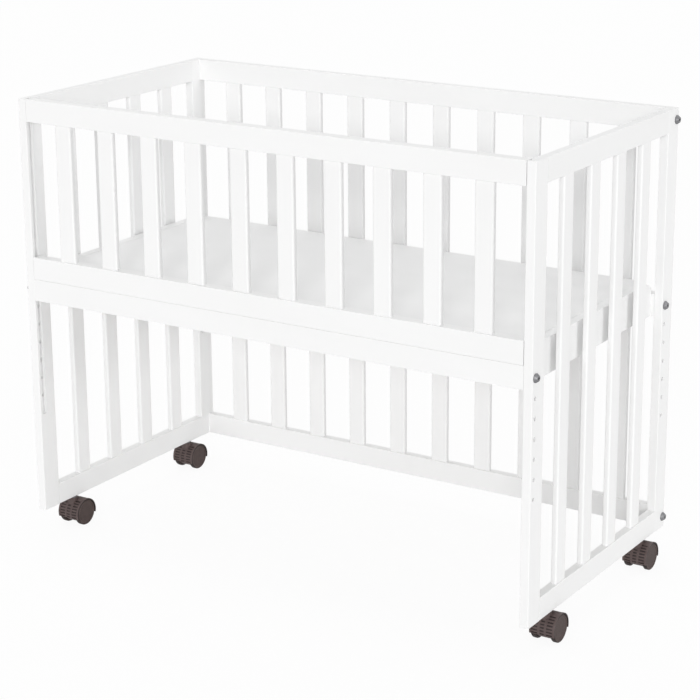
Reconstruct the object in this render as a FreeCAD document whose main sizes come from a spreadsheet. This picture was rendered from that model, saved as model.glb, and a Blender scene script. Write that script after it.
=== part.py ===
"""A bedside sleeper crib: two slatted ends, a slatted back, a lift-off front guard, a bed frame
that bolts to the posts at one of seven heights, and four hooded twin-wheel swivel casters.

Millimetres. +X runs along the length, +Y to the back, +Z up. The origin is on the floor, under
the centre of the crib. Every size is a cell of the spreadsheet Sizes.
"""
import FreeCAD, Part
import os
import re
from math import pi
import Sketcher
from FreeCAD import Placement, Rotation, Vector

DOC = FreeCAD.newDocument("BedsideCrib")
SHEET = DOC.addObject("Spreadsheet::Sheet", "Sizes")

SIZES = (
    # the whole crib
    ("crib_length", 970, "outside, over the posts"),
    ("crib_width", 497, "outside, front to back"),
    ("post_height", 728, "from the underside of the end frames to the top"),
    # members of the end frames and the back
    ("post_thickness", 15, "along the length"),
    ("post_depth", 38, "front to back"),
    ("panel_rail_height", 38, "rails of the ends and the back"),
    ("back_thickness", 15, "rails of the back, front to back"),
    ("edge_radius", 1, "eased long edges of posts and rails"),
    # slats
    ("slat_width", 32, ""),
    ("slat_thickness", 10, ""),
    ("slat_radius", 3, "rounded long edges"),
    ("end_slat_count", 4, "in each end"),
    ("long_slat_count", 10, "in the back and in the guard"),
    ("tenon_width", 24, ""),
    ("tenon_thickness", 6, ""),
    ("tenon_length", 12, ""),
    ("tenon_clearance", 0.1, "all round a tenon in its mortise"),
    # lift-off front guard and the groove that guides it
    ("guard_thickness", 20, "front to back"),
    ("guard_rail_height", 38, ""),
    ("guard_side_gap", 0.75, "between a guard rail and a post"),
    ("guard_seat_gap", 0.1, "between the guard and the rail that it stands on"),
    ("groove_width", 8.4, ""),
    ("groove_depth", 4, ""),
    ("groove_bottom", 176, "above the underside of the posts"),
    ("guide_pin_diameter", 8, ""),
    ("guide_pin_length", 26, ""),
    ("guide_pin_gap", 0.6, "between a pin's end and the groove's floor"),
    ("locating_pin_length", 11, "in the ends of the front bed rail"),
    ("locating_pin_drop", 12, "below the bolts"),
    # bed frame
    ("bed_height", 400.5, "its bolts, above the underside of the posts"),
    ("bed_rail_height", 38, "front and back rails"),
    ("bed_rail_thickness", 20, ""),
    ("bed_back_inset", 18, "from the back of the crib to the back rail"),
    ("bed_end_rail_height", 58, ""),
    ("bed_end_rail_thickness", 16, ""),
    ("bed_end_inset", 6, "from a post's inner face to an end rail"),
    ("bed_corner_length", 18, "sloping top corners of the end rails"),
    ("bed_corner_drop", 8, ""),
    ("board_thickness", 20, "flush with the end rails"),
    ("board_edge_radius", 0.5, ""),
    ("board_gap", 0.5, "round the board"),
    ("cleat_width", 18, ""),
    ("cleat_height", 18, ""),
    ("cleat_inset", 70, "from a rail's end to the cleat"),
    # height adjustment and fastenings
    ("hole_pitch", 32, ""),
    ("spare_hole_count", 6, "below the bolt that holds the bed"),
    ("bolt_hole_diameter", 7, ""),
    ("bolt_diameter", 6, ""),
    ("bolt_length", 60, "under the head"),
    ("bolt_head_diameter", 15, ""),
    ("bolt_head_height", 5.5, ""),
    ("bolt_head_rim", 1.4, "straight part of the head's side"),
    ("bolt_head_flat", 9.4, "diameter of the head's flat end"),
    ("bolt_key", 4, "across the flats of the socket"),
    ("bolt_key_depth", 3, ""),
    ("bolt_end_gap", 2, "in the hole past the bolt's end"),
    ("nut_diameter", 10, ""),
    ("nut_length", 13, ""),
    ("nut_distance", 34, "from a rail's end to the nut's axis"),
    ("nut_clearance", 0.1, "round a nut in its hole"),
    ("dowel_diameter", 8, ""),
    ("dowel_length", 30, ""),
    ("dowel_spacing", 18, "between the two dowels of a joint"),
    ("dowel_clearance", 0.05, "radial"),
    ("dowel_end_gap", 0.5, "past each end of a dowel"),
    ("bed_dowel_reach", 12, "length of a dowel inside a long bed rail"),
    ("cut_margin", 2, "how far a cut runs past the surface that it starts from"),
    # casters
    ("caster_height", 53.5, "floor to the underside of the end frames"),
    ("caster_inset", 80, "swivel axis from the front or the back of the crib"),
    ("caster_side_inset", 9.6, "swivel axis from the outer face of the end frame"),
    ("caster_trail", 9.5, "axle behind the swivel axis"),
    ("wheel_diameter", 46, ""),
    ("wheel_width", 7.8, ""),
    ("wheel_gap", 0.5, "between a wheel and the housing's web"),
    ("wheel_rim", 3.4, ""),
    ("wheel_web", 2, "closed outer disc"),
    ("wheel_edge_radius", 1.6, ""),
    ("wheel_face_recess", 0.6, "of the disc inside the rim"),
    ("wheel_face_slope", 1.2, "width of the recess's sloping edge"),
    ("hub_diameter", 13, ""),
    ("web_width", 26, "middle of the housing, between the wheels"),
    ("web_radius", 19, "its lower part, about the axle"),
    ("hood_gap", 0.4, "over the wheels"),
    ("hood_wall", 1.6, ""),
    ("hood_rear_drop", 15, "degrees of the hood's rear edge below the level of the axle"),
    ("hood_front_drop", 17, "the same for its front edge"),
    ("hood_overhang", 0.6, "past the wheels' outer faces"),
    ("ridge_width", 3.2, "raised rim at each side of the hood"),
    ("ridge_height", 0.4, ""),
    ("louvre_width", 2.4, ""),
    ("louvre_depth", 1.1, ""),
    ("louvre_drop", 11, "degrees of the lowest louvre below the level of the axle"),
    ("louvre_step", 12, "degrees"),
    ("inner_louvre_length", 7, "middle column"),
    ("inner_louvre_count", 5, ""),
    ("outer_louvre_length", 10.2, "column at each side"),
    ("outer_louvre_start", 7.8, "from the middle of the hood"),
    ("outer_louvre_count", 7, ""),
    ("collar_diameter", 17, ""),
    ("collar_gap", 0.3, "under the stem's flange"),
    ("collar_sink", 8, "how far the collar reaches down into the hood"),
    ("web_overlap", 3, "of the web's upper part over its round lower part"),
    ("axle_diameter", 6, ""),
    ("axle_end", 4.5, "length inside each wheel"),
    ("running_clearance", 0.05, "radial, of wheels and stems"),
    ("stem_diameter", 6, ""),
    ("stem_reach", 24, "below the flange, inside the housing"),
    ("stem_end_gap", 1, "under the stem's end, in the housing"),
    ("stem_thread_length", 15, "above the flange"),
    ("stem_flange_diameter", 14, ""),
    ("stem_flange_thickness", 1.5, ""),
    ("insert_diameter", 8, "threaded sleeve in the bottom rail"),
    ("insert_length", 16, ""),
)
for row, (alias, number, note) in enumerate(SIZES, start=1):
    SHEET.set(f"A{row}", alias)
    SHEET.set(f"B{row}", str(number))
    SHEET.set(f"C{row}", note)
    SHEET.setAlias(f"B{row}", alias)
DOC.recompute()
ALIASES = {alias for alias, _, _ in SIZES}

# lengths and levels that several pieces share, as formulas of the cells
INNER_LENGTH = "(crib_length - 2 * post_thickness)"
INNER_WIDTH = "(crib_width - 2 * post_depth)"
LEFT = "(-crib_length / 2)"
FRONT = "(-crib_width / 2)"
BACK = "(crib_width / 2)"
INNER_LEFT = f"({LEFT} + post_thickness)"
INNER_RIGHT = "(crib_length / 2 - post_thickness)"
FOOT = "caster_height"
TOP = "(caster_height + post_height)"
BED_CENTRE = "(caster_height + bed_height)"
BED_BOTTOM = f"({BED_CENTRE} - bed_rail_height / 2)"
BED_TOP = f"({BED_CENTRE} + bed_rail_height / 2)"
GUARD_BOTTOM = f"({BED_TOP} + guard_seat_gap)"
GUIDE_DEPTH = "(guard_thickness / 2)"
PIN_IN_GROOVE = "(groove_depth - guide_pin_gap)"
BED_BACK_DEPTH = "(crib_width - bed_back_inset - bed_rail_thickness / 2)"
LONG_GAP = f"(({INNER_LENGTH} - long_slat_count * slat_width) / (long_slat_count + 1))"
END_GAP = f"(({INNER_WIDTH} - end_slat_count * slat_width) / (end_slat_count + 1))"
WHEEL_RADIUS = "(wheel_diameter / 2)"
HOOD_INSIDE = f"({WHEEL_RADIUS} + hood_gap)"
HOOD_OUTSIDE = f"({HOOD_INSIDE} + hood_wall)"
HOOD_HALF_WIDTH = "(web_width / 2 + wheel_gap + wheel_width + hood_overhang)"
TINY = 0.01
ORIGIN_AXIS = {"X": "X_Axis", "Y": "Y_Axis", "Z": "Z_Axis"}
SUBPARTS = []


def formula(text):
    """The text with each size written as a cell of the spreadsheet."""
    return re.sub(r"[A-Za-z_]+", lambda word: f"Sizes.{word[0]}" if word[0] in ALIASES else word[0], text)


def value(text):
    """The number that a formula gives now."""
    return float(SHEET.evalExpression(formula(text)))


def count(alias):
    return int(round(value(alias)))


def bind(thing, **formulas):
    """Ties properties to formulas; an underscore stands for the dot in a property's path."""
    for name, text in formulas.items():
        thing.setExpression(name.replace("__", "."), formula(text))


def locate(thing, x, y, z, axis=Vector(0, 0, 1), angle=0.0):
    thing.Placement = Placement(Vector(value(x), value(y), value(z)), Rotation(axis, angle))
    bind(thing, Placement__Base__x=x, Placement__Base__y=y, Placement__Base__z=z)


def subpart(thing, label):
    """Marks an object as a sub-part of the crib, under its own name."""
    thing.Label = label
    SUBPARTS.append(thing)
    return thing


# ---------------------------------------------------------------- sketches and features
def new_body(name):
    return DOC.addObject("PartDesign::Body", name)


def origin_feature(body, role):
    return next(item for item in body.Origin.OriginFeatures if item.Role == role)


def new_sketch(body, plane, name, level="0"):
    """A sketch on one of the body's own origin planes, moved along its normal by level."""
    sketch = body.newObject("Sketcher::SketchObject", name)
    sketch.AttachmentSupport = [(origin_feature(body, plane), "")]
    sketch.MapMode = "FlatFace"
    sketch.AttachmentOffset = Placement(Vector(0, 0, value(level)), Rotation())
    bind(sketch, AttachmentOffset__Base__z=level)
    return sketch


def fix_point(sketch, geometry, point, x, y):
    """Dimensions one point from the sketch's origin."""
    for kind, axis, text in (("DistanceX", -2, x), ("DistanceY", -1, y)):
        if text == "0":
            sketch.addConstraint(Sketcher.Constraint("PointOnObject", geometry, point, axis))
            continue
        index = sketch.addConstraint(Sketcher.Constraint(kind, -1, 1, geometry, point, value(text)))
        sketch.setExpression(f"Constraints[{index}]", formula(text))


def polygon(sketch, points):
    """A closed outline of straight lines through points given as formulas."""
    places = [Vector(value(x), value(y), 0) for x, y in points]
    first = sketch.GeometryCount
    for start, end in zip(places, places[1:] + places[:1]):
        sketch.addGeometry(Part.LineSegment(start, end), False)
    total = len(points)
    for index in range(total):
        after = first + (index + 1) % total
        sketch.addConstraint(Sketcher.Constraint("Coincident", first + index, 2, after, 1))
    for index, (x, y) in enumerate(points):
        fix_point(sketch, first + index, 1, x, y)


def rectangle(sketch, left, bottom, wide, tall):
    right = wide if left == "0" else f"{left} + {wide}"
    top = tall if bottom == "0" else f"{bottom} + {tall}"
    polygon(sketch, [(left, bottom), (right, bottom), (right, top), (left, top)])


def circle(sketch, x, y, diameter):
    centre = Vector(value(x), value(y), 0)
    index = sketch.addGeometry(Part.Circle(centre, Vector(0, 0, 1), value(diameter) / 2), False)
    fix_point(sketch, index, 3, x, y)
    size = sketch.addConstraint(Sketcher.Constraint("Diameter", index, value(diameter)))
    sketch.setExpression(f"Constraints[{size}]", formula(diameter))


def pad(body, sketch, length, reverse=False, midplane=False):
    feature = body.newObject("PartDesign::Pad", "Pad")
    feature.Profile = sketch
    feature.Reversed = reverse
    feature.Midplane = midplane
    bind(feature, Length=length)
    DOC.recompute()
    return feature


def check_cut(body, before, what):
    if body.Shape.Volume > before - TINY:
        raise RuntimeError(f"{what} of {body.Name} cuts nothing")


def pocket(body, sketch, depth, along_normal=False, midplane=False):
    """Cuts against the sketch's normal, or along it."""
    before = body.Shape.Volume
    feature = body.newObject("PartDesign::Pocket", "Pocket")
    feature.Profile = sketch
    feature.Reversed = along_normal
    feature.Midplane = midplane
    bind(feature, Length=depth)
    DOC.recompute()
    check_cut(body, before, "a pocket")
    return feature


def row_of(body, feature, axis, copies, step, backwards=False):
    """Repeats a feature along one of the body's own axes."""
    if copies < 2:
        return
    before = body.Shape.Volume
    pattern = body.newObject("PartDesign::LinearPattern", "Row")
    pattern.Originals = [feature]
    pattern.Direction = (origin_feature(body, ORIGIN_AXIS[axis]), [""])
    pattern.Reversed = backwards
    pattern.Occurrences = copies
    bind(pattern, Length=f"{step} * {copies - 1}")
    body.Tip = pattern
    DOC.recompute()
    check_cut(body, before, "a row")


def round_edges(body, radius, wanted):
    """Fillets the edges of the body that a test picks."""
    base = body.Tip
    names = [f"Edge{number}" for number, edge in enumerate(base.Shape.Edges, start=1) if wanted(edge)]
    fillet = body.newObject("PartDesign::Fillet", "Rounded")
    fillet.Base = (base, names)
    fillet.Radius = value(radius)
    bind(fillet, Radius=radius)
    DOC.recompute()


def runs_along(direction):
    """A test for straight edges in one direction."""
    def test(edge):
        if not isinstance(edge.Curve, Part.Line):
            return False
        return abs(edge.tangentAt(edge.FirstParameter).dot(direction)) > 0.999
    return test


def group(label, pieces):
    """One sub-part made of alike solids that stay apart."""
    compound = DOC.addObject("Part::Compound", label)
    compound.Links = pieces
    DOC.recompute()
    return subpart(compound, label)


# ---------------------------------------------------------------- posts of the end frames
def make_post(label, right, back):
    """A post, from its outer left front lower corner: bolt holes across, dowel holes, and in
    the front posts the groove that guides the guard."""
    body = new_body(label)
    outline = new_sketch(body, "XY_Plane", "Section")
    rectangle(outline, "0", "0", "post_thickness", "post_depth")
    pad(body, outline, "post_height")
    round_edges(body, "edge_radius", runs_along(Vector(0, 0, 1)))

    bed_depth = f"({BED_BACK_DEPTH} - (crib_width - post_depth))" if back else GUIDE_DEPTH
    lowest = new_sketch(body, "YZ_Plane", "LowestBedHole")
    circle(lowest, bed_depth, "bed_height - spare_hole_count * hole_pitch", "bolt_hole_diameter")
    hole = pocket(body, lowest, "post_thickness", along_normal=True)
    row_of(body, hole, "Z", count("spare_hole_count") + 1, "hole_pitch")

    if back:
        panel_depth = "post_depth - back_thickness / 2"
        panel_holes = new_sketch(body, "YZ_Plane", "BackPanelHoles")
        for level in ("panel_rail_height / 2", "post_height - panel_rail_height / 2"):
            circle(panel_holes, panel_depth, level, "bolt_hole_diameter")
        pocket(body, panel_holes, "post_thickness", along_normal=True)
    else:
        slot = new_sketch(body, "XY_Plane", "Groove", "groove_bottom")
        inner = "0" if right else "post_thickness - groove_depth"
        rectangle(slot, inner, f"({GUIDE_DEPTH} - groove_width / 2)", "groove_depth", "groove_width")
        pocket(body, slot, "post_height - groove_bottom", along_normal=True)

    # the normal of this plane points to the front
    face = "0" if back else "-post_depth"
    dowel_holes = new_sketch(body, "XZ_Plane", "DowelHoles", face)
    for level in ("panel_rail_height / 2", "(post_height - panel_rail_height / 2)"):
        for sign in ("-", "+"):
            circle(dowel_holes, "post_thickness / 2", f"{level} {sign} dowel_spacing / 2",
                   "dowel_diameter + 2 * dowel_clearance")
    pocket(body, dowel_holes, "dowel_length / 2 + dowel_end_gap", along_normal=not back)

    x = INNER_RIGHT if right else LEFT
    y = f"({BACK} - post_depth)" if back else FRONT
    locate(body, x, y, FOOT)
    return subpart(body, label)


# ---------------------------------------------------------------- rails
def make_rail(name, length, thickness, height, rounded=True):
    """A bar along the body's X axis, from its lower front left corner."""
    body = new_body(name)
    section = new_sketch(body, "YZ_Plane", "Section")
    rectangle(section, "0", "0", thickness, height)
    pad(body, section, length)
    if rounded:
        round_edges(body, "edge_radius", runs_along(Vector(1, 0, 0)))
    return body


def cut_mortises(body, first, step, copies, middle, height, on_top):
    """A row of mortises for the slats' tenons, in the top or the bottom of a rail."""
    sketch = new_sketch(body, "XY_Plane", "Mortise", height if on_top else "0")
    wide = "(tenon_width + 2 * tenon_clearance)"
    deep = "(tenon_thickness + 2 * tenon_clearance)"
    rectangle(sketch, f"({first} - {wide} / 2)", f"({middle} - {deep} / 2)", wide, deep)
    mortise = pocket(body, sketch, "tenon_length + tenon_clearance", along_normal=not on_top)
    row_of(body, mortise, "X", copies, step)


def drill_ends(body, length, holes, diameter, depth):
    """The same holes in both ends of a rail; holes are (depth in Y, level) formulas."""
    for level, along in (("0", True), (length, False)):
        sketch = new_sketch(body, "YZ_Plane", "EndHoles", level)
        for across, height in holes:
            circle(sketch, across, height, diameter)
        pocket(body, sketch, depth, along_normal=along)


def drill_nuts(body, length, thickness, height, from_back):
    """Cross holes for the barrel nuts, from the face that nobody sees."""
    sketch = new_sketch(body, "XZ_Plane", "NutHoles", f"-{thickness}" if from_back else "0")
    for place in ("nut_distance", f"({length} - nut_distance)"):
        circle(sketch, place, f"{height} / 2", "nut_diameter + 2 * nut_clearance")
    pocket(body, sketch, f"{thickness} / 2 + nut_length / 2 + nut_clearance", along_normal=from_back)


def bolted_rail(name, thickness, height, from_back=True):
    """A long rail between the posts, held at each end by a bolt and a barrel nut."""
    body = make_rail(name, INNER_LENGTH, thickness, height)
    middle = [(f"{thickness} / 2", f"{height} / 2")]
    drill_ends(body, INNER_LENGTH, middle, "bolt_hole_diameter", "bolt_length - post_thickness + bolt_end_gap")
    drill_nuts(body, INNER_LENGTH, thickness, height, from_back)
    return body


def dowel_holes(thickness, height):
    return [(f"{thickness} / 2", f"{height} / 2 {sign} dowel_spacing / 2") for sign in ("-", "+")]


def make_end_rail(label, right, top):
    """A rail between the posts of one end, dowelled at both ends."""
    body = make_rail(label, INNER_WIDTH, "post_thickness", "panel_rail_height")
    drill_ends(body, INNER_WIDTH, dowel_holes("post_thickness", "panel_rail_height"),
               "dowel_diameter + 2 * dowel_clearance", "dowel_length / 2 + dowel_end_gap")
    cut_mortises(body, f"({END_GAP} + slat_width / 2)", f"({END_GAP} + slat_width)",
                 count("end_slat_count"), "post_thickness / 2", "panel_rail_height", on_top=not top)
    if not top:
        depth = "caster_side_inset" if right else "(post_thickness - caster_side_inset)"
        sleeve_holes = new_sketch(body, "XY_Plane", "CasterHoles")
        for place in ("(caster_inset - post_depth)", f"({INNER_WIDTH} + post_depth - caster_inset)"):
            circle(sleeve_holes, place, depth, "insert_diameter")
        pocket(body, sleeve_holes, "insert_length", along_normal=True)
    x = "(crib_length / 2)" if right else INNER_LEFT
    z = f"({TOP} - panel_rail_height)" if top else FOOT
    locate(body, x, f"({FRONT} + post_depth)", z, angle=90)
    return subpart(body, label)


def make_back_rail(label, top):
    body = bolted_rail(label, "back_thickness", "panel_rail_height")
    cut_mortises(body, f"({LONG_GAP} + slat_width / 2)", f"({LONG_GAP} + slat_width)",
                 count("long_slat_count"), "back_thickness / 2", "panel_rail_height", on_top=not top)
    z = f"({TOP} - panel_rail_height)" if top else FOOT
    locate(body, INNER_LEFT, f"({BACK} - back_thickness)", z)
    return subpart(body, label)


# ---------------------------------------------------------------- slats
def make_slat(name, length, x, y, z, angle=0.0):
    """An upright slat with rounded edges and a shouldered tenon at each end, from the middle of
    its lower shoulder."""
    body = new_body(name)
    section = new_sketch(body, "XY_Plane", "Section")
    rectangle(section, "-slat_width / 2", "-slat_thickness / 2", "slat_width", "slat_thickness")
    pad(body, section, length)
    round_edges(body, "slat_radius", runs_along(Vector(0, 0, 1)))
    tenon = new_sketch(body, "XY_Plane", "Tenon", "-tenon_length")
    rectangle(tenon, "-tenon_width / 2", "-tenon_thickness / 2", "tenon_width", "tenon_thickness")
    pad(body, tenon, f"{length} + 2 * tenon_length")
    locate(body, x, y, z, angle=angle)
    return body


def long_slat_places():
    for index in range(count("long_slat_count")):
        yield index + 1, f"({INNER_LEFT} + {index + 1} * {LONG_GAP} + {index + 0.5} * slat_width)"


def make_end_slats(side, right):
    x = "(crib_length / 2 - post_thickness / 2)" if right else f"({LEFT} + post_thickness / 2)"
    length = "(post_height - 2 * panel_rail_height)"
    for index in range(count("end_slat_count")):
        y = f"({FRONT} + post_depth + {index + 1} * {END_GAP} + {index + 0.5} * slat_width)"
        label = f"{side}_end_slat_{index + 1}"
        slat = make_slat(label, length, x, y, f"({FOOT} + panel_rail_height)", angle=90)
        subpart(slat, label)


def make_back_slats():
    length = "(post_height - 2 * panel_rail_height)"
    y = f"({BACK} - back_thickness / 2)"
    z = f"({FOOT} + panel_rail_height)"
    slats = [make_slat(f"BackSlat{number}", length, x, y, z) for number, x in long_slat_places()]
    return group("back_slats", slats)


# ---------------------------------------------------------------- lift-off guard
def make_guard():
    rail_length = f"({INNER_LENGTH} - 2 * guard_side_gap)"
    pin_hole = [("guard_thickness / 2", "guard_rail_height / 2")]
    pin_in_rail = f"(guide_pin_length - guard_side_gap - {PIN_IN_GROOVE})"
    first = f"({LONG_GAP} + slat_width / 2 - guard_side_gap)"
    levels = {"guard_bottom_rail": GUARD_BOTTOM, "guard_top_rail": f"({TOP} - guard_rail_height)"}
    for label, level in levels.items():
        body = make_rail(label, rail_length, "guard_thickness", "guard_rail_height")
        drill_ends(body, rail_length, pin_hole, "guide_pin_diameter + 2 * dowel_clearance", pin_in_rail)
        cut_mortises(body, first, f"({LONG_GAP} + slat_width)", count("long_slat_count"),
                     "guard_thickness / 2", "guard_rail_height", on_top=label == "guard_bottom_rail")
        locate(body, f"({INNER_LEFT} + guard_side_gap)", FRONT, level)
        subpart(body, label)

    middle = f"({FRONT} + guard_thickness / 2)"
    slat_foot = f"({GUARD_BOTTOM} + guard_rail_height)"
    slat_length = f"({TOP} - guard_rail_height - {slat_foot})"
    for number, x in long_slat_places():
        label = f"guard_slat_{number}"
        subpart(make_slat(label, slat_length, x, middle, slat_foot), label)

    pins = []
    for level in levels.values():
        pins += guide_pins("guide_pin_length", middle, f"({level} + guard_rail_height / 2)")
    group("guard_guide_pins", pins)


def guide_pins(length, y, z):
    """A pair of pins that reach into the grooves of the front posts."""
    left = f"({INNER_LEFT} - {PIN_IN_GROOVE})"
    right = f"({INNER_RIGHT} + {PIN_IN_GROOVE} - {length})"
    return [make_pin("guide_pin_diameter", length, x, y, z, Vector(0, 1, 0)) for x in (left, right)]


def make_pin(diameter, length, x, y, z, axis):
    """A plain round pin, turned from +Z to +X or to +Y."""
    pin = DOC.addObject("Part::Cylinder", "Pin")
    bind(pin, Radius=f"{diameter} / 2", Height=length)
    locate(pin, x, y, z, axis=axis, angle=90)
    return pin


# ---------------------------------------------------------------- bed frame and base board
def make_bed_frame():
    for label, y, from_back in (
            ("bed_front_rail", FRONT, True),
            ("bed_back_rail", f"({BACK} - bed_back_inset - bed_rail_thickness)", False)):
        body = bolted_rail(label, "bed_rail_thickness", "bed_rail_height", from_back)
        cut_bed_dowel_holes(body, from_back)
        if label == "bed_front_rail":
            place = [("bed_rail_thickness / 2", "bed_rail_height / 2 - locating_pin_drop")]
            drill_ends(body, INNER_LENGTH, place, "guide_pin_diameter + 2 * dowel_clearance",
                       f"locating_pin_length - {PIN_IN_GROOVE}")
        locate(body, INNER_LEFT, y, BED_BOTTOM)
        subpart(body, label)
    pins = guide_pins("locating_pin_length", f"({FRONT} + bed_rail_thickness / 2)",
                      f"({BED_CENTRE} - locating_pin_drop)")
    group("bed_locating_pins", pins)
    make_bed_end_rail("bed_left_rail", right=False)
    make_bed_end_rail("bed_right_rail", right=True)
    make_cleats()
    make_board()


BED_CLEAR_WIDTH = "(crib_width - bed_back_inset - 2 * bed_rail_thickness)"
BED_END_MIDDLE = "(bed_end_inset + bed_end_rail_thickness / 2)"


def cut_bed_dowel_holes(body, from_back):
    """Dowel holes in the inner face of a bed rail, for the end rails."""
    sketch = new_sketch(body, "XZ_Plane", "CornerDowels", "-bed_rail_thickness" if from_back else "0")
    for x in (BED_END_MIDDLE, f"({INNER_LENGTH} - {BED_END_MIDDLE})"):
        for _, level in dowel_holes("bed_rail_thickness", "bed_rail_height"):
            circle(sketch, x, level, "dowel_diameter + 2 * dowel_clearance")
    pocket(body, sketch, f"bed_dowel_reach + dowel_end_gap", along_normal=from_back)


def make_bed_end_rail(label, right):
    """A deeper rail across the bed frame; its top corners slope down."""
    body = make_rail(label, BED_CLEAR_WIDTH, "bed_end_rail_thickness", "bed_end_rail_height",
                     rounded=False)
    corners = new_sketch(body, "XZ_Plane", "Corners")
    low = "(bed_end_rail_height - bed_corner_drop)"
    for end, inward in (("0", "bed_corner_length"),
                        (BED_CLEAR_WIDTH, f"({BED_CLEAR_WIDTH} - bed_corner_length)")):
        polygon(corners, [(end, low), (inward, "bed_end_rail_height"), (end, "bed_end_rail_height")])
    pocket(body, corners, "bed_end_rail_thickness")
    drill_ends(body, BED_CLEAR_WIDTH, dowel_holes("bed_end_rail_thickness", "bed_rail_height"),
               "dowel_diameter + 2 * dowel_clearance",
               f"dowel_length - bed_dowel_reach + dowel_end_gap")
    inner = "(bed_end_inset + bed_end_rail_thickness)"
    x = f"({INNER_RIGHT} - bed_end_inset)" if right else f"({INNER_LEFT} + {inner})"
    locate(body, x, f"({FRONT} + bed_rail_thickness)", BED_BOTTOM, angle=90)
    return subpart(body, label)


def make_cleats():
    """Two strips inside the long bed rails, on which the board lies."""
    cleats = []
    length = f"({INNER_LENGTH} - 2 * cleat_inset)"
    front = f"({FRONT} + bed_rail_thickness)"
    back = f"({FRONT} + bed_rail_thickness + {BED_CLEAR_WIDTH} - cleat_width)"
    for y in (front, back):
        body = make_rail("Cleat", length, "cleat_width", "cleat_height", rounded=False)
        locate(body, f"({INNER_LEFT} + cleat_inset)", y, f"({BED_TOP} - cleat_height)")
        cleats.append(body)
    return group("bed_cleats", cleats)


def make_board():
    body = new_body("bed_base_board")
    outline = new_sketch(body, "XY_Plane", "Outline")
    side = "(bed_end_inset + bed_end_rail_thickness + board_gap)"
    wide = f"({INNER_LENGTH} - 2 * {side})"
    deep = f"({BED_CLEAR_WIDTH} - 2 * board_gap)"
    rectangle(outline, "0", "0", wide, deep)
    pad(body, outline, "board_thickness")
    top = value("board_thickness")
    round_edges(body, "board_edge_radius", lambda edge: edge.CenterOfMass.z > top - TINY)
    locate(body, f"({INNER_LEFT} + {side})", f"({FRONT} + bed_rail_thickness + board_gap)", BED_TOP)
    return subpart(body, "bed_base_board")


# ---------------------------------------------------------------- bolts, barrel nuts and dowels
def bolted_places():
    """Depth and level of every bolt on one side of the crib, with its rail's thickness."""
    panel = f"({BACK} - back_thickness / 2)"
    yield f"({FRONT} + bed_rail_thickness / 2)", BED_CENTRE
    yield f"({FRONT} + {BED_BACK_DEPTH})", BED_CENTRE
    yield panel, f"({FOOT} + panel_rail_height / 2)"
    yield panel, f"({TOP} - panel_rail_height / 2)"


def make_bolt(y, z, right):
    """A furniture bolt with a low domed head and a hexagon socket, along its own +X axis."""
    body = new_body("Bolt")
    profile = new_sketch(body, "XZ_Plane", "Profile")
    polygon(profile, [
        ("-bolt_head_height", "0"),
        ("-bolt_head_height", "(bolt_head_flat / 2)"),
        ("-bolt_head_rim", "(bolt_head_diameter / 2)"),
        ("0", "(bolt_head_diameter / 2)"),
        ("0", "(bolt_diameter / 2)"),
        ("bolt_length", "(bolt_diameter / 2)"),
        ("bolt_length", "0"),
    ])
    turned = body.newObject("PartDesign::Revolution", "Turned")
    turned.Profile = profile
    turned.ReferenceAxis = (profile, ["H_Axis"])
    turned.Angle = 360
    DOC.recompute()
    socket = new_sketch(body, "YZ_Plane", "Socket", "-bolt_head_height")
    hexagon(socket, "bolt_key")
    pocket(body, socket, "bolt_key_depth", along_normal=True)
    x = "(crib_length / 2)" if right else LEFT
    locate(body, x, y, z, angle=180 if right else 0)
    return body


def hexagon(sketch, across):
    """A regular hexagon round the sketch's origin, two sides level."""
    half = f"({across} / 2)"
    side = f"({across} / 2 / sqrt(3))"
    polygon(sketch, [
        (f"2 * {side}", "0"), (side, half), (f"-{side}", half),
        (f"-2 * {side}", "0"), (f"-{side}", f"-{half}"), (side, f"-{half}"),
    ])


def make_nut(y, z, right):
    """A barrel nut across the rail, with the hole that the bolt screws into."""
    barrel = DOC.addObject("Part::Cylinder", "Barrel")
    bind(barrel, Radius="nut_diameter / 2", Height="nut_length")
    x = f"({INNER_RIGHT} - nut_distance)" if right else f"({INNER_LEFT} + nut_distance)"
    locate(barrel, x, f"({y} + nut_length / 2)", z, axis=Vector(1, 0, 0), angle=90)
    thread = DOC.addObject("Part::Cylinder", "Thread")
    bind(thread, Radius="bolt_diameter / 2 + running_clearance", Height="2 * nut_diameter")
    locate(thread, f"({x} - nut_diameter)", y, z, axis=Vector(0, 1, 0), angle=90)
    nut = DOC.addObject("Part::Cut", "BarrelNut")
    nut.Base = barrel
    nut.Tool = thread
    return nut


def make_fastenings():
    sides = (False, True)
    group("frame_bolts", [make_bolt(y, z, right) for y, z in bolted_places() for right in sides])
    group("barrel_nuts", [make_nut(y, z, right) for y, z in bolted_places() for right in sides])


def make_dowels():
    """Dowels at the corners of the end frames and of the bed frame, all along Y."""
    dowels = []
    for sign in ("-", "+"):
        shift = f"{sign} dowel_spacing / 2"
        for x in (f"({LEFT} + post_thickness / 2)", "(crib_length / 2 - post_thickness / 2)"):
            for level in (f"({FOOT} + panel_rail_height / 2)", f"({TOP} - panel_rail_height / 2)"):
                for joint in (f"({FRONT} + post_depth)", f"({BACK} - post_depth)"):
                    dowels.append(make_pin("dowel_diameter", "dowel_length", x,
                                           f"({joint} + dowel_length / 2)", f"({level} {shift})",
                                           Vector(1, 0, 0)))
        front = f"({FRONT} + bed_rail_thickness - bed_dowel_reach + dowel_length)"
        back = f"({FRONT} + bed_rail_thickness + {BED_CLEAR_WIDTH} + bed_dowel_reach)"
        for x in (f"({INNER_LEFT} + {BED_END_MIDDLE})", f"({INNER_RIGHT} - {BED_END_MIDDLE})"):
            for y in (front, back):
                dowels.append(make_pin("dowel_diameter", "dowel_length", x, y,
                                       f"({BED_CENTRE} {shift})", Vector(1, 0, 0)))
    group("joint_dowels", dowels)


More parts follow.
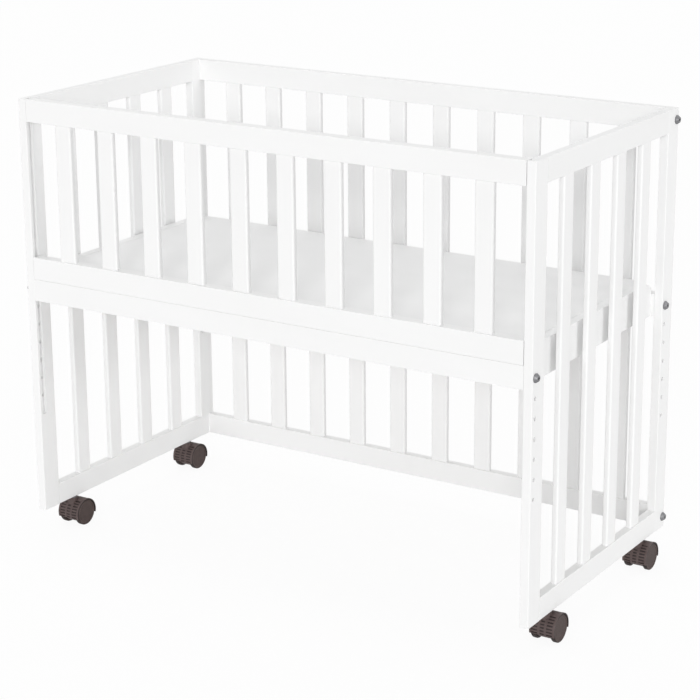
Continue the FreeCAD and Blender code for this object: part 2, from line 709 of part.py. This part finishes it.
# ---------------------------------------------------------------- casters
CASTERS = (("front_left", False, False), ("front_right", True, False),
           ("back_left", False, True), ("back_right", True, True))


def swivel_place(right, back):
    x = "(crib_length / 2 - caster_side_inset)" if right else f"({LEFT} + caster_side_inset)"
    y = f"({BACK} - caster_inset)" if back else f"({FRONT} + caster_inset)"
    return x, y


def turned_body(name, points):
    """A body of revolution about its own Z axis, from (radius, level) formulas."""
    body = new_body(name)
    profile = new_sketch(body, "XZ_Plane", "Profile")
    polygon(profile, points)
    turned = body.newObject("PartDesign::Revolution", "Turned")
    turned.Profile = profile
    turned.ReferenceAxis = (profile, ["V_Axis"])
    turned.Angle = 360
    DOC.recompute()
    return body


def make_stem(right, back):
    """The steel stem: flange against the rail, thread above it, plain pintle below it."""
    radius = "(stem_diameter / 2)"
    flange = "(stem_flange_diameter / 2)"
    body = turned_body("Stem", [
        ("0", "(-stem_flange_thickness - stem_reach)"),
        (radius, "(-stem_flange_thickness - stem_reach)"),
        (radius, "-stem_flange_thickness"),
        (flange, "-stem_flange_thickness"),
        (flange, "0"),
        (radius, "0"),
        (radius, "stem_thread_length"),
        ("0", "stem_thread_length"),
    ])
    locate(body, *swivel_place(right, back), FOOT)
    return body


def make_insert(right, back):
    """The threaded sleeve in the rail, round the stem's thread."""
    bore = "(stem_diameter / 2 + running_clearance)"
    outside = "(insert_diameter / 2)"
    body = turned_body("Insert", [(bore, "0"), (outside, "0"), (outside, "insert_length"),
                                  (bore, "insert_length")])
    locate(body, *swivel_place(right, back), FOOT)
    return body


def hood_sector(sketch, inside, outside):
    """A band round the axle, from below the level of the axle at the rear, over the top, to
    below the level of the axle at the front."""
    centre = Vector(0, 0, 0)
    start = -value("hood_rear_drop") * pi / 180
    stop = (180 + value("hood_front_drop")) * pi / 180
    arcs = []
    for radius in (inside, outside):
        ring = Part.Circle(centre, Vector(0, 0, 1), value(radius))
        curve = sketch.addGeometry(Part.ArcOfCircle(ring, start, stop), False)
        arcs.append(curve)
        sketch.addConstraint(Sketcher.Constraint("Coincident", curve, 3, -1, 1))
        size = sketch.addConstraint(Sketcher.Constraint("Radius", curve, value(radius)))
        sketch.setExpression(f"Constraints[{size}]", formula(radius))
        for pole, drop in ((1, "hood_rear_drop"), (2, "hood_front_drop")):
            rise = f"(-{radius} * sin({drop} * 1 deg))"
            height = sketch.addConstraint(
                Sketcher.Constraint("DistanceY", -1, 1, curve, pole, value(rise)))
            sketch.setExpression(f"Constraints[{height}]", formula(rise))
    for pole in (1, 2):
        start, stop = (sketch.getPoint(curve, pole) for curve in arcs)
        line = sketch.addGeometry(Part.LineSegment(start, stop), False)
        for end, curve in enumerate(arcs, start=1):
            sketch.addConstraint(Sketcher.Constraint("Coincident", curve, pole, line, end))


def make_housing(label, right, back):
    """The moulded housing: a web between the wheels, a hood over them, a louvred front and the
    collar for the stem. Its own X axis is the axle's line."""
    body = new_body(label)
    web = new_sketch(body, "YZ_Plane", "Web")
    circle(web, "0", "0", "2 * web_radius")
    pad(body, web, "web_width", midplane=True)

    upper_web = new_sketch(body, "YZ_Plane", "UpperWeb")
    hood_sector(upper_web, "(web_radius - web_overlap)", HOOD_OUTSIDE)
    pad(body, upper_web, "web_width", midplane=True)

    collar_foot = f"({HOOD_INSIDE} - collar_sink)"
    collar_top = f"(caster_height - {WHEEL_RADIUS} - stem_flange_thickness - collar_gap)"
    collar = new_sketch(body, "XY_Plane", "Collar", collar_foot)
    circle(collar, "0", "-caster_trail", "collar_diameter")
    pad(body, collar, f"{collar_top} - {collar_foot}")

    hood = new_sketch(body, "YZ_Plane", "Hood")
    hood_sector(hood, HOOD_INSIDE, HOOD_OUTSIDE)
    pad(body, hood, f"2 * {HOOD_HALF_WIDTH}", midplane=True)
    cut_louvres(body, "(-inner_louvre_length / 2)", "inner_louvre_length", "inner_louvre_count")
    for level in ("(-outer_louvre_start - outer_louvre_length)", "outer_louvre_start"):
        cut_louvres(body, level, "outer_louvre_length", "outer_louvre_count")
    for level, inwards in ((f"(-{HOOD_HALF_WIDTH})", False), (HOOD_HALF_WIDTH, True)):
        ridge = new_sketch(body, "YZ_Plane", "Ridge", level)
        hood_sector(ridge, HOOD_INSIDE, f"({HOOD_OUTSIDE} + ridge_height)")
        pad(body, ridge, "ridge_width", reverse=inwards)

    pintle = new_sketch(body, "XY_Plane", "Pintle", f"{collar_top} + collar_gap")
    circle(pintle, "0", "-caster_trail", "stem_diameter + 2 * running_clearance")
    pocket(body, pintle, "stem_reach + stem_end_gap")

    axle = new_sketch(body, "YZ_Plane", "Axle")
    circle(axle, "0", "0", "axle_diameter + 2 * dowel_clearance")
    pocket(body, axle, "web_width + cut_margin", midplane=True)

    x, y = swivel_place(right, back)
    locate(body, x, f"({y} + caster_trail)", WHEEL_RADIUS)
    return subpart(body, label)


def on_hood(radius, aside):
    """Formulas for a point at a radius, on the line of the lowest louvre, moved aside from it."""
    along, across = "cos(louvre_drop * 1 deg)", "sin(louvre_drop * 1 deg)"
    return (f"(-{radius} * {along} + {aside} * {across})", f"(-{radius} * {across} - {aside} * {along})")


def cut_louvres(body, level, length, copies):
    """A column of slots up the front of the hood, set round the axle."""
    half = "(louvre_width / 2)"
    low, high = f"({HOOD_OUTSIDE} - louvre_depth)", f"({HOOD_OUTSIDE} + cut_margin)"
    slot = new_sketch(body, "YZ_Plane", "Louvre", level)
    polygon(slot, [on_hood(low, half), on_hood(high, half), on_hood(high, f"(-{half})"),
                   on_hood(low, f"(-{half})")])
    cut = pocket(body, slot, length, along_normal=True)
    before = body.Shape.Volume
    pattern = body.newObject("PartDesign::PolarPattern", "Louvres")
    pattern.Originals = [cut]
    pattern.Axis = (origin_feature(body, ORIGIN_AXIS["X"]), [""])
    pattern.Reversed = True
    pattern.Occurrences = count(copies)
    bind(pattern, Angle=f"louvre_step * {count(copies) - 1}")
    body.Tip = pattern
    DOC.recompute()
    check_cut(body, before, "a column of louvres")


def make_axle(label, right, back):
    """The steel axle, pressed through the web and reaching into both wheels."""
    length = "(web_width + 2 * wheel_gap + 2 * axle_end)"
    x, y = swivel_place(right, back)
    pin = make_pin("axle_diameter", length, f"({x} - {length} / 2)", f"({y} + caster_trail)",
                   WHEEL_RADIUS, Vector(0, 1, 0))
    return subpart(pin, label)


def make_wheel(label, right, back, on_right):
    """A wheel turned about its own Z axis: closed outer disc with a stepped face, rim, hub and
    a blind bore. Level 0 is its inner side."""
    rim_inside = f"({WHEEL_RADIUS} - wheel_rim)"
    face = "(wheel_width - wheel_face_recess)"
    body = turned_body(label, [
        ("(axle_diameter / 2 + running_clearance)", "0"),
        ("(hub_diameter / 2)", "0"),
        ("(hub_diameter / 2)", f"({face} - wheel_web)"),
        (rim_inside, f"({face} - wheel_web)"),
        (rim_inside, "0"),
        (WHEEL_RADIUS, "0"),
        (WHEEL_RADIUS, "wheel_width"),
        (rim_inside, "wheel_width"),
        (f"({rim_inside} - wheel_face_slope)", face),
        ("0", face),
        ("0", "(axle_end + wheel_gap)"),
        ("(axle_diameter / 2 + running_clearance)", "(axle_end + wheel_gap)"),
    ])
    rim = value(WHEEL_RADIUS)
    round_edges(body, "wheel_edge_radius", lambda edge: on_rim(edge, rim))
    x, y = swivel_place(right, back)
    offset = "(web_width / 2 + wheel_gap)"
    sign, angle = ("+", 90) if on_right else ("-", -90)
    locate(body, f"({x} {sign} {offset})", f"({y} + caster_trail)", WHEEL_RADIUS,
           axis=Vector(0, 1, 0), angle=angle)
    return subpart(body, label)


def on_rim(edge, radius):
    return isinstance(edge.Curve, Part.Circle) and abs(edge.Curve.Radius - radius) < TINY


def make_casters():
    corners = [(right, back) for _, right, back in CASTERS]
    group("caster_stems", [make_stem(right, back) for right, back in corners])
    group("caster_sleeves", [make_insert(right, back) for right, back in corners])
    for name, right, back in CASTERS:
        make_housing(f"{name}_caster_housing", right, back)
        make_axle(f"{name}_caster_axle", right, back)
        make_wheel(f"{name}_wheel_left", right, back, on_right=False)
        make_wheel(f"{name}_wheel_right", right, back, on_right=True)


# ---------------------------------------------------------------- the crib
for side, is_right in (("left", False), ("right", True)):
    make_post(f"{side}_front_post", is_right, back=False)
    make_post(f"{side}_back_post", is_right, back=True)
    make_end_rail(f"{side}_top_rail", is_right, top=True)
    make_end_rail(f"{side}_bottom_rail", is_right, top=False)
    make_end_slats(side, is_right)
make_back_rail("back_top_rail", top=True)
make_back_rail("back_bottom_rail", top=False)
make_back_slats()
make_guard()
make_bed_frame()
make_fastenings()
make_dowels()
make_casters()
DOC.recompute()

failed = [item.Name for item in DOC.Objects if {"Invalid", "Error"} & set(item.State)]
if failed:
    raise RuntimeError(f"failed objects: {failed}")
for part in SUBPARTS:
    if part.Shape.isNull() or not part.Shape.isValid() or part.Shape.Volume <= 0:
        raise RuntimeError(f"{part.Label} has no valid shape")
os.makedirs("parts", exist_ok=True)
for part in SUBPARTS:
    part.Shape.exportStep(f"parts/{part.Label}.step")
print(f"{len(SUBPARTS)} sub-parts written")
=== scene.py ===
"""The bedside sleeper crib, dressed for its photograph: materials, floor, lamps and camera.

Metres and degrees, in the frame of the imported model: +X along the length, +Y to the back, +Z up.
"""
from math import radians
import bpy
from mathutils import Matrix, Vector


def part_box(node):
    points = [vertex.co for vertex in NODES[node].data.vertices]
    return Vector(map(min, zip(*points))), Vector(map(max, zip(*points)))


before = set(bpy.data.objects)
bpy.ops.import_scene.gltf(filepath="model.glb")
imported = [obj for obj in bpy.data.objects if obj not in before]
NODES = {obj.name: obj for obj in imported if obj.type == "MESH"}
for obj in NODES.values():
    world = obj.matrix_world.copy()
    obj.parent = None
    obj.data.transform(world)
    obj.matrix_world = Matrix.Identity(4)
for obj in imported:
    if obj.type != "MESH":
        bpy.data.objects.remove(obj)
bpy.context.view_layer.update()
SIDES = ("left", "right")
CORNERS = ("front_left", "front_right", "back_left", "back_right")
END_SLATS = range(1, 5)
GUARD_SLATS = range(1, 11)

# the photograph's view; the lens and the sensor are in millimetres
CAMERA_AT = (1.8414, -2.8527, 1.4029)
CAMERA_TILT = 73.752
CAMERA_TURN = 31.247
CAMERA_LENS = 107.53
CAMERA_SHIFT = (-0.075, -0.0458)
SENSOR_WIDTH = 36
VIEW_DEPTH = 100

# the lamps: name, strength, spread, tilt from the vertical, turn about Z from the front
LAMPS = (
    ("front", 0.23, 15, 75, 0),
    ("front_right", 1.16, 15, 75, 25),
    ("right", 0.58, 10, 80, 90),
    ("top", 0.53, 25, 0, 0),
    ("back_left", 0.30, 40, 45, 225),
)

# the white surround: its strength as a light and where it is seen, and how far the floor follows it
SURROUND_LIGHT = 0.53
SURROUND_SEEN = 1.0
FLOOR_WHITE = 0.93
FLOOR_HALF = 14

# the darker and the lighter shade of each surface
LACQUER = ((0.868, 0.868, 0.866), (0.885, 0.886, 0.885))
BOARD_PAINT = ((0.842, 0.843, 0.842), (0.862, 0.863, 0.862))
ZINC = ((0.20, 0.20, 0.21), (0.31, 0.31, 0.32))
HOUSING_PLASTIC = ((0.092, 0.066, 0.063), (0.108, 0.079, 0.076))
WHEEL_PLASTIC = ((0.056, 0.038, 0.035), (0.070, 0.048, 0.044))
FLOOR_PAINT = ((0.90, 0.90, 0.90), (0.92, 0.92, 0.92))
BEECH = ((0.50, 0.32, 0.18), (0.64, 0.44, 0.27), (0.70, 0.50, 0.32))

# where between 0 and 1 a texture reaches each shade
SHADE_STOPS = (0.3, 0.7)
BEECH_STOPS = (0.3, 0.55, 0.75)

# the painted shade on the casters, on the louvres' floors and, with some scuffing, at the wheels' rim
# edges: from and to which distance past the wheel's radius it lies, how soft its edges are, and what share
# of the darker and the lighter shade is left there
LOUVRE_FLOOR_SHADE = (0.0003, 0.0016)
TREAD_SHADE_AND_SCUFF = (-0.0009, 0.0002)
PAINTED_SHADE_EDGE = 0.0003
PAINTED_SHADE_LEAVES = (0.3, 0.45)


# ---------------------------------------------------------------- camera
def make_camera():
    """The photograph's camera."""
    data = bpy.data.cameras.new("camera")
    data.lens = CAMERA_LENS
    data.sensor_width = SENSOR_WIDTH
    data.shift_x, data.shift_y = CAMERA_SHIFT
    data.clip_end = VIEW_DEPTH
    camera = bpy.data.objects.new("camera", data)
    camera.location = CAMERA_AT
    camera.rotation_euler = (radians(CAMERA_TILT), 0, radians(CAMERA_TURN))
    bpy.context.scene.collection.objects.link(camera)
    bpy.context.scene.camera = camera


# ---------------------------------------------------------------- node helpers
class Material:
    """A material with a Principled shader, and short ways to add the usual textures."""

    def __init__(self, name, roughness=0.4, metallic=0.0, specular=0.5):
        self.data = bpy.data.materials.new(name)
        self.data.use_nodes = True
        self.tree = self.data.node_tree
        self.shader = next(n for n in self.tree.nodes if n.type == "BSDF_PRINCIPLED")
        self.shader.inputs["Roughness"].default_value = roughness
        self.shader.inputs["Metallic"].default_value = metallic
        self.shader.inputs["Specular IOR Level"].default_value = specular
        self.bump_top = None

    def node(self, kind, **inputs):
        """A new node with the given values on its inputs."""
        made = self.tree.nodes.new(kind)
        for name, value in inputs.items():
            made.inputs[name].default_value = value
        return made

    def link(self, output, target):
        """Joins an output to an input."""
        self.tree.links.new(output, target)

    def noise(self, scale, detail=2.0, stretch=(1, 1, 1), roughness=0.5):
        """Noise in the model's own coordinates; stretch scales them per axis."""
        coordinates = self.node("ShaderNodeTexCoord")
        mapping = self.node("ShaderNodeMapping", Scale=stretch)
        texture = self.node("ShaderNodeTexNoise", Scale=scale, Detail=detail, Roughness=roughness)
        self.link(coordinates.outputs["Object"], mapping.inputs["Vector"])
        self.link(mapping.outputs["Vector"], texture.inputs["Vector"])
        return texture.outputs["Fac"]

    def distance_from(self, y, z):
        """Metres from a line along X through (y, z), in the model's own coordinates."""
        coordinates = self.node("ShaderNodeTexCoord")
        across = self.node("ShaderNodeMapping", Location=(0, -y, -z), Scale=(0, 1, 1))
        length = self.node("ShaderNodeVectorMath")
        length.operation = "LENGTH"
        self.link(coordinates.outputs["Object"], across.inputs["Vector"])
        self.link(across.outputs["Vector"], length.inputs[0])
        return length.outputs["Value"]

    def between(self, factor, low, high, start=0.35, stop=0.65):
        """A number from low to high as factor goes from start to stop."""
        spread = self.node("ShaderNodeMapRange")
        for name, value in (("From Min", start), ("From Max", stop), ("To Min", low), ("To Max", high)):
            spread.inputs[name].default_value = value
        self.link(factor, spread.inputs["Value"])
        return spread.outputs["Result"]

    def band(self, distance, low, high):
        """1 where the distance lies between low and high, 0 outside, with soft edges."""
        product = self.node("ShaderNodeMath")
        product.operation = "MULTIPLY"
        edges = ((low - PAINTED_SHADE_EDGE, low), (high + PAINTED_SHADE_EDGE, high))
        for socket, (start, stop) in zip(product.inputs, edges):
            self.link(self.between(distance, 0, 1, start, stop), socket)
        return product.outputs["Value"]

    def shades(self, factor, colours, stops=SHADE_STOPS):
        """A colour that reaches each of the colours where factor reaches its stop."""
        ramp = self.node("ShaderNodeValToRGB")
        elements = ramp.color_ramp.elements
        while len(elements) < len(colours):
            elements.new(0.5)
        for element, stop, colour in zip(elements, stops, colours):
            element.position = stop
            element.color = (*colour, 1)
        self.link(factor, ramp.inputs["Fac"])
        return ramp.outputs["Color"]

    def mixed(self, factor, first, second):
        """A colour that goes from the first to the second as factor goes from 0 to 1."""
        mix = self.node("ShaderNodeMix")
        mix.data_type = "RGBA"
        self.link(factor, mix.inputs["Factor"])
        self.link(first, next(i for i in mix.inputs if i.name == "A" and i.type == "RGBA"))
        self.link(second, next(i for i in mix.inputs if i.name == "B" and i.type == "RGBA"))
        return next(o for o in mix.outputs if o.name == "Result" and o.type == "RGBA")

    def paint(self, colour):
        """Links the shader's base colour."""
        self.link(colour, self.shader.inputs["Base Color"])

    def rough(self, value):
        """Links the shader's roughness."""
        self.link(value, self.shader.inputs["Roughness"])

    def bump(self, height, strength, distance):
        """Adds relief on top of the relief already there."""
        relief = self.node("ShaderNodeBump", Strength=strength, Distance=distance)
        self.link(height, relief.inputs["Height"])
        if self.bump_top:
            self.link(self.bump_top, relief.inputs["Normal"])
        self.bump_top = relief.outputs["Normal"]
        self.link(self.bump_top, self.shader.inputs["Normal"])


def along(axis, lengthwise, across):
    """A stretch that draws a texture out along one axis."""
    return tuple(lengthwise if axis == name else across for name in "XYZ")


# ---------------------------------------------------------------- materials
def lacquered_wood(axis):
    """White satin lacquer over close-grained wood that runs along one axis."""
    material = Material(f"white_lacquer_{axis}", specular=0.2)
    mottle = material.noise(scale=7, detail=3, stretch=along(axis, 0.6, 1.6))
    material.paint(material.shades(mottle, LACQUER))
    material.rough(material.between(material.noise(scale=40), 0.42, 0.52))
    grain = material.noise(scale=1, detail=4, stretch=along(axis, 9, 420), roughness=0.6)
    material.bump(grain, strength=0.10, distance=0.0003)
    material.bump(material.noise(scale=1100, detail=1), strength=0.05, distance=0.0001)
    return material.data


def painted_board():
    """Matt white paint, rolled on a flat board."""
    material = Material("white_board")
    material.paint(material.shades(material.noise(scale=5, detail=3), BOARD_PAINT))
    material.rough(material.between(material.noise(scale=30), 0.55, 0.66))
    material.bump(material.noise(scale=650), strength=0.12, distance=0.0002)
    return material.data


def bare_wood():
    """Unfinished beech with short dark flecks."""
    material = Material("bare_beech", roughness=0.62)
    grain = material.noise(scale=1, detail=5, stretch=along("X", 14, 260), roughness=0.65)
    material.paint(material.shades(grain, BEECH, BEECH_STOPS))
    material.bump(grain, strength=0.2, distance=0.0003)
    return material.data


def plated_steel():
    """Dull zinc plating with a fine turned texture and darker patches."""
    material = Material("zinc_plated_steel", metallic=1.0)
    material.paint(material.shades(material.noise(scale=260, detail=3), ZINC))
    material.rough(material.between(material.noise(scale=700), 0.34, 0.5))
    material.bump(material.noise(scale=2600), strength=0.15, distance=0.00008)
    return material.data


def moulded_plastic(name, colours, roughness, axle, dark):
    """Grey-brown nylon with a fine spark-eroded surface. It has painted shade, a darker copy of its
    colours, where the distance from the axle, a line along X, lies between the two that dark gives."""
    material = Material(name, specular=0.25)
    patches = material.noise(scale=90, detail=3)
    clean = material.shades(patches, colours)
    # painted shade: a darker copy of the colours, laid in a band at a set distance from the axle
    darker = [[share * value for value in colour] for share, colour in zip(PAINTED_SHADE_LEAVES, colours)]
    shaded = material.shades(patches, darker)
    painted_shade_mask = material.band(material.distance_from(*axle), *dark)
    material.paint(material.mixed(painted_shade_mask, clean, shaded))
    material.rough(material.between(material.noise(scale=500), *roughness))
    material.bump(material.noise(scale=2200, detail=3), strength=0.22, distance=0.00012)
    return material.data


# ---------------------------------------------------------------- dressing
def give(material, *names):
    """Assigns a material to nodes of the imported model."""
    for name in names:
        mesh = NODES[name].data
        mesh.materials.clear()
        mesh.materials.append(material)


def dress_woodwork():
    """Lacquer with its grain along each member, the painted board, and the bare wood inside."""
    lacquer = {axis: lacquered_wood(axis) for axis in "XYZ"}
    for side in SIDES:
        give(lacquer["Z"], f"{side}_front_post", f"{side}_back_post")
        give(lacquer["Z"], *(f"{side}_end_slat_{number}" for number in END_SLATS))
        give(lacquer["Y"], f"{side}_top_rail", f"{side}_bottom_rail", f"bed_{side}_rail")
    give(lacquer["Z"], "back_slats", *(f"guard_slat_{number}" for number in GUARD_SLATS))
    give(lacquer["X"], "back_top_rail", "back_bottom_rail", "guard_top_rail", "guard_bottom_rail",
         "bed_front_rail", "bed_back_rail")
    give(painted_board(), "bed_base_board")
    give(bare_wood(), "bed_cleats", "guard_guide_pins", "bed_locating_pins", "joint_dowels")


def dress_metal():
    """One plated steel for the fasteners and for the stems, sleeves and axles of the casters."""
    axles = [f"{corner}_caster_axle" for corner in CORNERS]
    give(plated_steel(), "frame_bolts", "barrel_nuts", "caster_stems", "caster_sleeves", *axles)


def dress_casters():
    """Plastic for each caster, with painted shade on the floors of its louvres, and painted shade with
    some scuffing at its wheels' rim edges.
    """
    for corner in CORNERS:
        low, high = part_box(f"{corner}_wheel_left")
        axle = ((low[1] + high[1]) / 2, (low[2] + high[2]) / 2)
        radius = (high[2] - low[2]) / 2
        # the louvre floors get painted shade; the wheels get painted shade at the rim's edge, with some
        # scuffing of the tread
        floors, tread = ([radius + past for past in dark] for dark in (LOUVRE_FLOOR_SHADE, TREAD_SHADE_AND_SCUFF))
        housing = moulded_plastic(f"{corner}_housing_plastic", HOUSING_PLASTIC, (0.42, 0.56), axle, floors)
        wheel = moulded_plastic(f"{corner}_wheel_plastic", WHEEL_PLASTIC, (0.5, 0.62), axle, tread)
        give(housing, f"{corner}_caster_housing")
        give(wheel, f"{corner}_wheel_left", f"{corner}_wheel_right")


# ---------------------------------------------------------------- surroundings
def seen_directly(tree):
    """1 for rays from the camera, from glossy surfaces and through clear ones, else 0."""
    path = tree.nodes.new("ShaderNodeLightPath")
    total = path.outputs["Is Camera Ray"]
    for name in ("Is Glossy Ray", "Is Transmission Ray"):
        either = tree.nodes.new("ShaderNodeMath")
        either.operation = "MAXIMUM"
        tree.links.new(total, either.inputs[0])
        tree.links.new(path.outputs[name], either.inputs[1])
        total = either.outputs[0]
    return total


def make_world():
    """A white surround, which lights softly and is plain white where it is seen."""
    world = bpy.data.worlds.new("studio")
    bpy.context.scene.world = world
    world.use_nodes = True
    tree = world.node_tree
    tree.nodes.clear()
    mix = tree.nodes.new("ShaderNodeMixShader")
    tree.links.new(seen_directly(tree), mix.inputs[0])
    for socket, strength in zip(mix.inputs[1:], (SURROUND_LIGHT, SURROUND_SEEN)):
        background = tree.nodes.new("ShaderNodeBackground")
        background.inputs["Color"].default_value = (1, 1, 1, 1)
        background.inputs["Strength"].default_value = strength
        tree.links.new(background.outputs[0], socket)
    output = tree.nodes.new("ShaderNodeOutputWorld")
    tree.links.new(mix.outputs[0], output.inputs["Surface"])


def floor_paint():
    """Matt white that fades into the surround where it is seen, and keeps a faint shadow."""
    material = Material("floor", roughness=0.9, specular=0.0)
    material.paint(material.shades(material.noise(scale=3), FLOOR_PAINT))
    share = material.node("ShaderNodeMath")
    share.operation = "MULTIPLY"
    share.inputs[1].default_value = FLOOR_WHITE
    glow = material.node("ShaderNodeEmission", Strength=SURROUND_SEEN)
    mix = material.node("ShaderNodeMixShader")
    output = next(n for n in material.tree.nodes if n.type == "OUTPUT_MATERIAL")
    material.link(seen_directly(material.tree), share.inputs[0])
    material.link(share.outputs[0], mix.inputs[0])
    material.link(material.shader.outputs[0], mix.inputs[1])
    material.link(glow.outputs[0], mix.inputs[2])
    material.link(mix.outputs[0], output.inputs["Surface"])
    return material.data


def make_floor():
    """A wide flat floor at the height of the wheels' lowest points."""
    half = FLOOR_HALF
    mesh = bpy.data.meshes.new("floor")
    mesh.from_pydata([(-half, -half, 0), (half, -half, 0), (half, half, 0), (-half, half, 0)], [],
                     [(0, 1, 2, 3)])
    mesh.materials.append(floor_paint())
    floor = bpy.data.objects.new("floor", mesh)
    bpy.context.scene.collection.objects.link(floor)


def make_lamps():
    """Large soft lamps, far away."""
    for name, strength, spread, tilt, turn in LAMPS:
        data = bpy.data.lights.new(name, "SUN")
        data.energy = strength
        data.angle = radians(spread)
        lamp = bpy.data.objects.new(name, data)
        lamp.rotation_euler = (radians(tilt), 0, radians(turn))
        bpy.context.scene.collection.objects.link(lamp)


make_camera()
dress_woodwork()
dress_metal()
dress_casters()
make_world()
make_floor()
make_lamps()
bpy.context.scene.view_settings.view_transform = "Standard"
